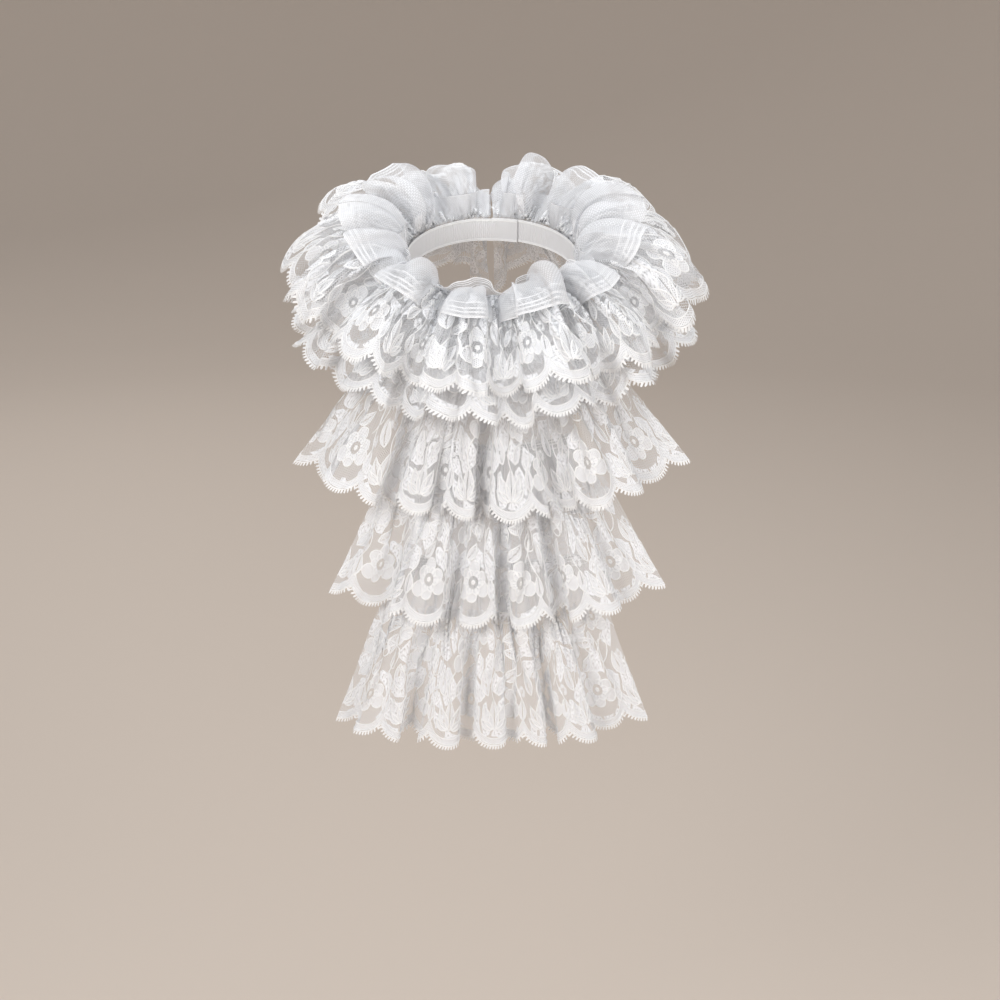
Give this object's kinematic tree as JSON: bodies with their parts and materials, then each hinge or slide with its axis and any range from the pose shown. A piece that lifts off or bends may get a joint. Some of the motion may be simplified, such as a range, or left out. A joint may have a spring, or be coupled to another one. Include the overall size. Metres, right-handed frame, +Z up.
{
  "type": "jabot collar",
  "caption": "Ruffled lace neck collar with a gathered jabot that falls in tiers down the front, open at the neck and worn over a shirt or dress.",
  "frame": {"origin": "the middle of the neckline, where the wearer's neck holds the collar", "axes": "+Z is up, the wearer faces -Y, and the wearer's left is +X"},
  "size_m": [0.3257, 0.2969, 0.4139],
  "materials": {
    "lace": "white flower lace",
    "ribbon": "white woven ribbon",
    "net": "plain white net"
  },
  "bodies": {
    "root": {"neck_band": "ribbon", "backing_panel": "net", "collar_ruffle_lower": "lace", "collar_ruffle_upper": "lace", "jabot_tier_1": "lace", "jabot_tier_2": "lace", "jabot_tier_3": "lace"}
  },
  "joints": []
}
